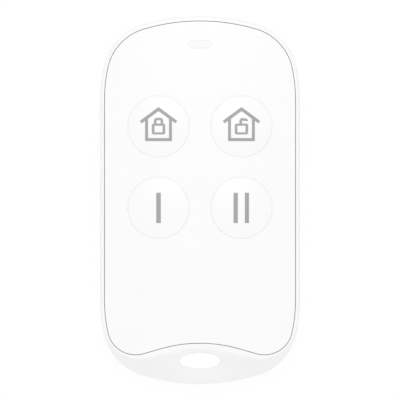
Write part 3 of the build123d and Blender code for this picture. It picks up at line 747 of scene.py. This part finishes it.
# Keypad mat: one sheet of cloudy silicone rubber that lies on the board, with a sprung hat under each key.
# Each hat has a thin skirt under its head; the hats are not tied to the keys.
cloudy_silicone = finish(
    "cloudy_silicone", (0.82, 0.83, 0.84), (0.74, 0.74, 0.74), 0.6, depth=3e-6, mottle=0.06
)
mat_half_width, mat_low, mat_high, mat_corner = 13.475 * mm, -7.5475 * mm, 19.15 * mm, 1 * mm
sheet_low, sheet_top, hat_foot, hat_neck, hat_top = 6.3 * mm, 6.9 * mm, 5.55 * mm, 7.8 * mm, 9.9 * mm
head_radius, head_round, skirt_wall, joint_gap = 2.9 * mm, 0.25 * mm, 0.35 * mm, 0.01 * mm
mat_length = mat_high - mat_low
stops = [
    (Vector((0, mat_length / 2)), 0),
    (Vector((mat_half_width - mat_corner, mat_length / 2)), 0),
    (Vector((mat_half_width, mat_length / 2 - mat_corner)), mat_corner),
    (Vector((mat_half_width, mat_corner - mat_length / 2)), 0),
    (Vector((mat_half_width - mat_corner, -mat_length / 2)), mat_corner),
    (Vector((0, -mat_length / 2)), 0),
]
outline = trace(stops, (1, 6, 1, 6, 1), (0, (mat_low + mat_high) / 2))
sheet = bmesh.new()
lower = [start_ring(sheet, at_level(outline, sheet_low))]
upper = [grow(sheet, lower[0], at_level(outline, sheet_top))]
for name, centre in key_places.items():
    hole = round_points(centre, hat_foot + joint_gap)
    lower.append(start_ring(sheet, at_level(hole, sheet_low)))
    upper.append(grow(sheet, lower[-1], at_level(hole, sheet_top)))
    hat = bmesh.new()
    inner = ring = start_ring(hat, at_level(round_points(centre, hat_foot - skirt_wall), sheet_low))
    for step in range(1, 7):
        radius = hat_foot - skirt_wall + (head_radius - hat_foot) * step / 6
        level = sheet_low + (hat_neck - sheet_low) * step / 6
        ring = grow(hat, ring, at_level(round_points(centre, radius), level))
    close(hat, ring)
    ring = start_ring(hat, at_level(round_points(centre, hat_foot), sheet_low))
    close(hat, inner, ring)
    for step in range(7):
        radius = hat_foot + (head_radius - hat_foot) * step / 6
        level = sheet_top + (hat_neck - sheet_top) * step / 6
        ring = grow(hat, ring, at_level(round_points(centre, radius), level))
    for angle in (0, 30, 60, 90):
        aside, down = head_round * (1 - cos(radians(angle))), head_round * (1 - sin(radians(angle)))
        ring = grow(hat, ring, at_level(round_points(centre, head_radius - aside), hat_top - down))
    close(hat, ring)
    hat = make_piece(f"rubber_hat_{name}", hat, cloudy_silicone, None, "silicone")
    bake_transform(hat)
close(sheet, *lower)
close(sheet, *upper)
make_piece("rubber_sheet", sheet, cloudy_silicone, "case", "silicone", "keypad_mat")

# Face plate: the crowned white cover, snapped into the tub with four hooks.
# It is 1.2 mm thick, with a collar behind each key hole and a boss for each board screw.
seam_gap, face_thickness, skirt_width, face_round = 0.09 * mm, 1.2 * mm, 1 * mm, 0.05 * mm
key_hole, hole_round, collar_radius, collar_floor = 5.414 * mm, 0.012 * mm, 6.6 * mm, 9.15 * mm
boss_radius, screw_hole, board_top, boss_bottom = 1.9 * mm, 0.8 * mm, 6.3 * mm, 8.75 * mm
boss_steps = 32
boss_places = ((-11.5 * mm, 23.5 * mm), (11.5 * mm, -19.5 * mm))
window_y, window_length, window_width = 27.5 * mm, 4.14 * mm, 1.34 * mm
window_gap, window_round = 0.002 * mm, 0.006 * mm
hook_outer, hook_thickness, hook_reach, hook_half_width = 15.47 * mm, 1 * mm, 0.45 * mm, 1.5 * mm
hook_root, grid_step = 10 * mm, 1.5 * mm
drawn_flat = 1 * mm  # points lower than this are drawn flat, and then raised onto a curved surface


def slot_points(grown):
    """Points round the window's slot, grown by a width on every side."""
    stops = slot_stops(window_length + 2 * grown, window_width + 2 * grown)
    return trace(stops, (3, 12, 3), (0, window_y))


def rounded_ring(bm, outline, radius, steps=3):
    """Rings from the crowned sheet over a rounded edge, from an outline that takes a width."""
    first = ring = start_ring(bm, at_level(outline(radius), 0))
    for step in range(1, steps + 1):
        angle = radians(90) * step / steps
        ring = grow(bm, ring, at_level(outline(radius * (1 - sin(angle))), radius * (cos(angle) - 1)))
    return first, ring


def cut_grid(bm, faces, step):
    """Cuts faces along a square grid, so that they can follow a curved surface."""
    spots = [vert.co for face in faces for vert in face.verts]
    for axis in (0, 1):
        low, high = min(spot[axis] for spot in spots), max(spot[axis] for spot in spots)
        across = Vector((0, 0, 0))
        across[axis] = 1
        for count in range(ceil(low / step), ceil(high / step)):
            live = [face for face in faces if face.is_valid]
            parts = dict.fromkeys(item for face in live for item in (face, *face.edges, *face.verts))
            spot = across * count * step
            cut = bmesh.ops.bisect_plane(bm, geom=list(parts), plane_co=spot, plane_no=across)
            faces = [item for item in cut["geom"] if isinstance(item, bmesh.types.BMFace)]
    return faces


plate = bmesh.new()
top_rings, under_rings = [], []
first, ring = rounded_ring(plate, lambda inward: seam_points(seam_gap + inward), face_round)
ring = grow(plate, ring, at_level(seam_points(seam_gap), ledge_height))
ring = grow(plate, ring, at_level(seam_points(seam_gap + skirt_width), ledge_height))
under_rings.append(grow(plate, ring, at_level(seam_points(seam_gap + skirt_width), -face_thickness)))
top_rings.append(first)
for centre in key_places.values():
    first, ring = rounded_ring(plate, lambda outward: round_points(centre, key_hole + outward), hole_round)
    ring = grow(plate, ring, at_level(round_points(centre, key_hole), collar_floor))
    ring = grow(plate, ring, at_level(round_points(centre, collar_radius), collar_floor))
    under_rings.append(grow(plate, ring, at_level(round_points(centre, collar_radius), -face_thickness)))
    top_rings.append(first)
first, ring = rounded_ring(plate, lambda outward: slot_points(window_gap + outward), window_round, 2)
under_rings.append(grow(plate, ring, at_level(slot_points(window_gap), -face_thickness)))
top_rings.append(first)
for centre in boss_places:
    ring = start_ring(plate, at_level(round_points(centre, boss_radius, boss_steps), -face_thickness))
    under_rings.append(ring)
    ring = grow(plate, ring, at_level(round_points(centre, boss_radius, boss_steps), board_top))
    ring = grow(plate, ring, at_level(round_points(centre, screw_hole, boss_steps), board_top))
    close(plate, grow(plate, ring, at_level(round_points(centre, screw_hole, boss_steps), boss_bottom)))
for rings in (top_rings, under_rings):
    made = close(plate, *rings)
    cut_grid(plate, [item for item in made if isinstance(item, bmesh.types.BMFace)], grid_step)
for vert in plate.verts:
    if vert.co.z < drawn_flat:
        vert.co.z += crown_level(vert.co.x, vert.co.y)
hooks = bmesh.new()
for side in (-1, 1):
    for y in (-hook_y, hook_y):
        profile = [
            (hook_outer, hook_floor),
            (hook_outer + hook_reach, hook_floor + hook_head / 2),
            (hook_outer + hook_reach, hook_floor + hook_head),
            (hook_outer, hook_floor + hook_head),
            (hook_outer, hook_root),
            (hook_outer - hook_thickness, hook_root),
            (hook_outer - hook_thickness, hook_floor),
        ]
        ring = start_ring(hooks, [Vector((side * x, y - hook_half_width, z)) for x, z in profile])
        hooks.faces.new(ring)
        hooks.faces.new(grow(hooks, ring, [Vector((side * x, y + hook_half_width, z)) for x, z in profile]))
plate = combined(plate, hooks, "UNION")
face_white = finish("face_white", white, handled_white, 0.34, grain=9000.0, depth=6e-7, mottle=0.01)
make_piece("face_cover", plate, face_white, "case", "face", "face_plate", exact=on_crown)

# Status light window: a milky light pipe of polycarbonate, pushed in from behind.
# It lies flush in its slot, and its flange stops it against the back of the face.
window_sunk, window_foot, window_step = 0.01 * mm, 7.2 * mm, 0.5 * mm
flange_low, flange_high, flange_width = 9.8 * mm, 10.3 * mm, 0.6 * mm
pipe = bmesh.new()
first, ring = rounded_ring(pipe, lambda inward: slot_points(-inward), window_round, 2)
for grown, level in (
    (0, flange_high),
    (flange_width, flange_high),
    (flange_width, flange_low),
    (0, flange_low),
    (0, window_foot),
):
    ring = grow(pipe, ring, at_level(slot_points(grown), level))
close(pipe, ring)
made = close(pipe, first)
cut_grid(pipe, [item for item in made if isinstance(item, bmesh.types.BMFace)], window_step)
for vert in pipe.verts:
    if vert.co.z < drawn_flat:
        vert.co.z += crown_level(vert.co.x, vert.co.y) - window_sunk
milky_pipe = finish("milky_pipe", (0.89, 0.895, 0.895), (0.8, 0.8, 0.8), 0.3, mottle=0.01)
make_piece("light_pipe", pipe, milky_pipe, "case", "window", "led_window")

# Keys: domed white caps that stand proud of the plate and press straight down.
# The marks are pad-printed in grey ink: a locked and an unlocked house, one bar and two bars.
key_radius, dome_rise, dome_radius, key_round = 5.41 * mm, 0.688 * mm, 21.36 * mm, 0.02 * mm
dome_start, key_foot, key_recess, recess_top = 0.6 * mm, 8.5 * mm, 4.2 * mm, 9.95 * mm
flange_radius, flange_top = 5.9 * mm, 9.1 * mm
ink_height, ink_sunk, ink_step = 0.015 * mm, 0.004 * mm, 0.4 * mm


def dome_centre(centre):
    """Centre of the sphere of a key's dome, whose axis follows the crown."""
    return Vector((*centre, crown_level(*centre))) - crown_normal(*centre) * (dome_radius - dome_rise)


def lay_on_dome(bm, centre):
    """Raises what is drawn flat onto a key's dome."""
    middle = dome_centre(centre)
    for vert in bm.verts:
        if vert.co.z < drawn_flat:
            aside = (vert.co - middle).xy
            vert.co.z += middle.z + sqrt(dome_radius**2 - aside.length_squared)


def stroke(bm, start, *moves):
    """A line of even width: the edges across its end are spun or moved along."""
    ends = [bm.verts.new((*point, 0)) for point in start]
    tip = ends + [bm.edges.new(pair) for pair in zip(ends, ends[1:])]
    for move in moves:
        tip = bmesh.ops.spin(bm, geom=tip, axis=(0, 0, 1), **{"steps": 1, **move})["geom_last"]


def rectangle(bm, left, low, right, high):
    stroke(bm, ((left, low), (left, high)), {"dvec": (right - left, 0, 0)})


def house(bm):
    """Gable, walls and floor as one closed band, its left half mirrored from the right."""
    rings = []
    for half in (
        ((0, 3.43), (3.31, 0.97), (2.98, 0.53), (2.37, 0.98), (2.37, -2.6)),
        ((0, 2.7), (1.85, 1.33), (1.85, -2.07)),
    ):
        outline = [*half, *((-x, y) for x, y in reversed(half[1:]))]
        rings.append(start_ring(bm, [Vector((x * mm, y * mm, 0)) for x, y in outline]))
    close(bm, *rings)


def lock_body(bm):
    rings = []
    for half, low, high, radius in ((1.18, -1.42, 0.5, 0.32), (0.72, -1.05, 0.12, 0.08)):
        joints = [((foot * half / 1.18, high), 0) for foot in (0.09, 0.36, 0.81)]
        stops = [
            ((0, high), 0),
            *joints,
            ((half - radius, high), 0),
            ((half, high - radius), radius),
            ((half, low + radius), 0),
            ((half - radius, low), radius),
            ((0, low), 0),
        ]
        stops = [(Vector(point) * mm, turn * mm) for point, turn in stops]
        rings.append(start_ring(bm, trace(stops, (1, 1, 1, 1, 5, 1, 5, 1))))
    close(bm, *rings)


def quarter(x, y):
    """A quarter turn of a stroke to the right, round a centre in millimetres."""
    return {"cent": (x * mm, y * mm, 0), "angle": -radians(90), "steps": 6}


def shift(x, y):
    """A straight run of a stroke, in millimetres."""
    return {"dvec": (x * mm, y * mm, 0)}


def shackle(bm):
    start = (-0.81 * mm, 0.5 * mm), (-0.36 * mm, 0.5 * mm)
    bend, back = quarter(-0.31, 1.02), quarter(0.31, 1.02)
    stroke(bm, start, shift(0, 0.52), bend, shift(0.62, 0), back, shift(0, -0.52))


def open_shackle(bm):
    start = [(x * mm, 0.5 * mm) for x in (-0.36, -0.09, 0, 0.09)]
    stroke(bm, start, shift(0, 0.48), quarter(0.13, 0.98), shift(0.55, -0.05), quarter(0.68, 0.93))


def locked(bm):
    house(bm)
    lock_body(bm)
    shackle(bm)


def unlocked(bm):
    house(bm)
    lock_body(bm)
    open_shackle(bm)


def one_bar(bm):
    rectangle(bm, -0.41 * mm, -2.68 * mm, 0.41 * mm, 2.68 * mm)


def two_bars(bm):
    rectangle(bm, -1.4 * mm, -2.68 * mm, -0.64 * mm, 2.68 * mm)
    rectangle(bm, 0.6 * mm, -2.68 * mm, 1.34 * mm, 2.68 * mm)


key_white = finish("key_white", white, handled_white, 0.36, grain=9000.0, depth=6e-7, mottle=0.01)
grey_ink = finish("grey_ink", (0.365, 0.365, 0.365), (0.5, 0.5, 0.5), 0.5, grain=12000.0, depth=1e-6)
marks = {"arm": locked, "disarm": unlocked, "one": one_bar, "two": two_bars}
for name, centre in key_places.items():
    cap = bmesh.new()
    ring = start_ring(cap, at_level(round_points(centre, dome_start), 0))
    close(cap, ring)
    for step in range(1, 9):
        radius = dome_start + (key_radius - key_round - dome_start) * step / 8
        ring = grow(cap, ring, at_level(round_points(centre, radius), 0))
    for step in range(1, 5):
        angle = radians(90) * step / 4
        radius = key_radius - key_round * (1 - sin(angle))
        ring = grow(cap, ring, at_level(round_points(centre, radius), key_round * (cos(angle) - 1)))
    for radius, level in (
        (key_radius, flange_top),
        (flange_radius, flange_top),
        (flange_radius, key_foot),
        (key_recess, key_foot),
        (key_recess, recess_top),
    ):
        ring = grow(cap, ring, at_level(round_points(centre, radius), level))
    close(cap, ring)
    lay_on_dome(cap, centre)

    def on_dome(point, normal, middle=dome_centre(centre)):
        away = point - middle
        if abs(away.length - dome_radius) < 0.002 * mm and normal.dot(away.normalized()) > 0.999:
            return away.normalized()

    make_piece(f"key_cap_{name}", cap, key_white, f"key_{name}", "key", f"key_{name}", exact=on_dome)
    mark = bmesh.new()
    marks[name](mark)
    bmesh.ops.remove_doubles(mark, verts=mark.verts, dist=1e-7)
    bmesh.ops.recalc_face_normals(mark, faces=mark.faces)
    cut_grid(mark, mark.faces[:], ink_step)
    made = bmesh.ops.extrude_face_region(mark, geom=mark.faces[:])["geom"]
    lifted = [item for item in made if isinstance(item, bmesh.types.BMVert)]
    bmesh.ops.translate(mark, verts=lifted, vec=(0, 0, ink_height + ink_sunk))
    bmesh.ops.translate(mark, verts=mark.verts, vec=(*centre, -ink_sunk))
    lay_on_dome(mark, centre)
    make_piece(f"mark_{name}", mark, grey_ink, f"key_{name}", "key")

# Floor, lamps and camera: a pale table top under two broad soft lamps, seen from straight above.
# It is open where the fob lies and clear from below, so that the back can be looked at too.
view_width = 70.65 * mm
floor_glow, sky_light, lamp_power, fill_power = 0.86, 0.867, 5.5, 1.4
floor_reach, floor_drop, open_share = 1500 * mm, 0.01 * mm, 0.994
camera_height, camera_reach = 500 * mm, 10


def seen_ray(tree):
    """One for what the camera sees, directly, in a reflection or through glass."""
    path = add_node(tree, "LightPath").outputs
    seen = arithmetic(tree, "MAXIMUM", path["Is Camera Ray"], path["Is Glossy Ray"])
    return arithmetic(tree, "MAXIMUM", seen, path["Is Transmission Ray"])


table_top = bpy.data.materials.new("table_top")
table_top.use_nodes = True
tree = table_top.node_tree
tree.nodes.clear()
matt = add_node(tree, "BsdfDiffuse", {"Color": (0.88, 0.88, 0.88, 1)}).outputs[0]
glow = add_node(tree, "Emission", {"Color": (1, 1, 1, 1), "Strength": 1.03}).outputs[0]
part = arithmetic(tree, "MULTIPLY", seen_ray(tree), floor_glow)
both = add_node(tree, "MixShader", {0: part, 1: matt, 2: glow}).outputs[0]
under = add_node(tree, "NewGeometry").outputs["Backfacing"]
clear = add_node(tree, "BsdfTransparent").outputs[0]
one_sided = add_node(tree, "MixShader", {0: under, 1: both, 2: clear}).outputs[0]
add_node(tree, "OutputMaterial", {"Surface": one_sided})
bm = bmesh.new()
corners = [Vector((x * floor_reach, y * floor_reach, 0)) for x, y in ((-1, -1), (1, -1), (1, 1), (-1, 1))]
table = start_ring(bm, at_level(corners, -floor_drop))
opening = start_ring(bm, at_level([point * open_share for point in back_ring(0)], -floor_drop))
close(bm, table, opening)
bm.normal_update()
bmesh.ops.reverse_faces(bm, faces=[face for face in bm.faces if face.normal.z < 0])
floor = as_object("floor", bm)
floor.data.materials.append(table_top)

world = bpy.data.worlds.new("studio")
bpy.context.scene.world = world
world.use_nodes = True
tree = world.node_tree
strength = add_node(tree, "MapRange", {0: seen_ray(tree), 1: 0.0, 2: 1.0, 3: sky_light, 4: 1.0})
tree.nodes["Background"].inputs["Color"].default_value = (1, 1, 1, 1)
tree.links.new(strength.outputs[0], tree.nodes["Background"].inputs["Strength"])

for name, power, along, up in (("soft_lamp", lamp_power, 0.85, 1.5), ("fill_lamp", fill_power, -1.3, 0.75)):
    lamp_data = bpy.data.lights.new(name, "AREA")
    lamp_data.size = 1
    lamp_data.energy = power
    lamp = bpy.data.objects.new(name, lamp_data)
    lamp.location = (0, along, up)
    lamp.rotation_euler = (-atan2(along, up), 0, 0)
    bpy.context.scene.collection.objects.link(lamp)

camera_data = bpy.data.cameras.new("camera")
camera_data.type = "ORTHO"
camera_data.ortho_scale = view_width
camera_data.clip_end = camera_reach
camera = bpy.data.objects.new("camera", camera_data)
camera.location = (0, 0, camera_height)
bpy.context.scene.collection.objects.link(camera)
bpy.context.scene.camera = camera
bpy.context.scene.view_settings.view_transform = "Standard"
